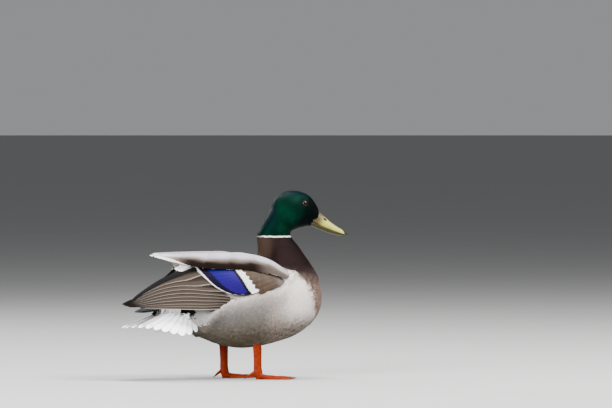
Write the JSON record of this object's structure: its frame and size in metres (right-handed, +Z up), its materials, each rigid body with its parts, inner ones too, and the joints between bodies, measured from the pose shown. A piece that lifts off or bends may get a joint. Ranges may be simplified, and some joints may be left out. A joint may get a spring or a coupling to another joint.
{
  "type": "mallard duck",
  "caption": "Life-size standing drake mallard with folded wings, fanned tail and head turned slightly; a still model that stands on its own two webbed feet.",
  "frame": {"origin": "on the floor under the middle of the bird's bounding box", "axes": "+X forward along the body, +Y to the bird's left, +Z up; the soles stand on Z = 0"},
  "size_m": [0.348, 0.1372, 0.2805],
  "materials": {
    "head_feathers": "short close feathers, bottle green with a blue and violet gloss",
    "breast_feathers": "soft purplish brown feathers with a white collar above them",
    "body_feathers": "soft pale grey feathers with fine dark waves, darker below",
    "wing_feathers": "grey-brown coverts with a glossy blue panel bordered black and white",
    "tertial_feathers": "smooth pale grey-brown feathers",
    "flight_feathers": "stiff grey-brown feathers with pale edges",
    "tail_feathers": "stiff white feathers over black coverts",
    "bill": "smooth waxy olive yellow with a dark tip",
    "eye": "clear wet dark brown",
    "leg_skin": "orange skin with fine scales"
  },
  "bodies": {
    "root": {"bill_lower": "bill", "bill_upper": "bill", "eye_left": "eye", "eye_right": "eye", "foot_left": "leg_skin", "foot_right": "leg_skin", "head": "head_feathers", "neck": "breast_feathers", "primaries_left": "flight_feathers", "primaries_right": "flight_feathers", "shank_left": "leg_skin", "shank_right": "leg_skin", "tail": "tail_feathers", "tertials_left": "tertial_feathers", "tertials_right": "tertial_feathers", "thigh_left": "body_feathers", "thigh_right": "body_feathers", "trunk": "body_feathers", "wing_left": "wing_feathers", "wing_right": "wing_feathers"}
  },
  "joints": []
}
